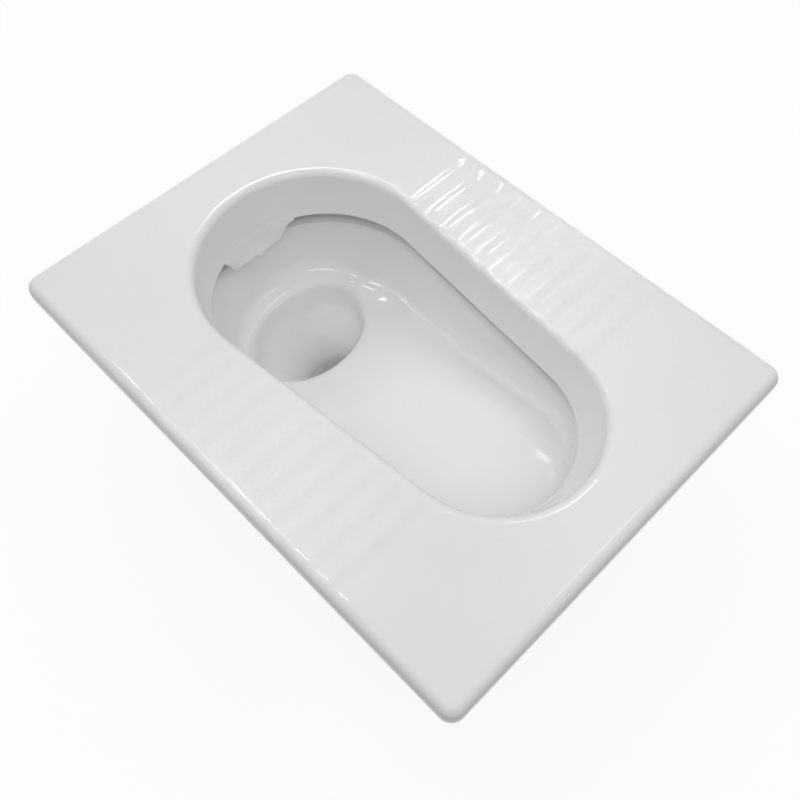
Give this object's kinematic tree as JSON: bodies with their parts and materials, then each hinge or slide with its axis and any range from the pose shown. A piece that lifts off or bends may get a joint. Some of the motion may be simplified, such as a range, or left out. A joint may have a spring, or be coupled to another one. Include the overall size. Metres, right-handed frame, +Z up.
{
  "type": "squat toilet",
  "caption": "Floor-set squat toilet pan: corrugated foot plate, slanted rim band with an open flush channel, sloping basin, drain well and vertical outlet spigot.",
  "frame": {"origin": "centre of the outlet spigot's lower end", "axes": "+X to the shallow front end of the pan, along its length; +Y across it; +Z up, out of the opening"},
  "size_m": [0.6, 0.454, 0.28],
  "materials": {
    "glaze": "glossy white glaze",
    "unglazed_body": "thin matt glaze wash",
    "black_rubber": "matt"
  },
  "bodies": {
    "root": {"foot_plate": "glaze", "rim_band": "glaze", "flush_channel": "glaze", "basin": "glaze", "basin_floor": "glaze", "drain_well": "glaze", "flush_spreader": "glaze", "outlet_spigot": "unglazed_body", "inlet_horn": "unglazed_body", "inlet_sleeve": "black_rubber", "outlet_seal": "black_rubber"}
  },
  "joints": []
}
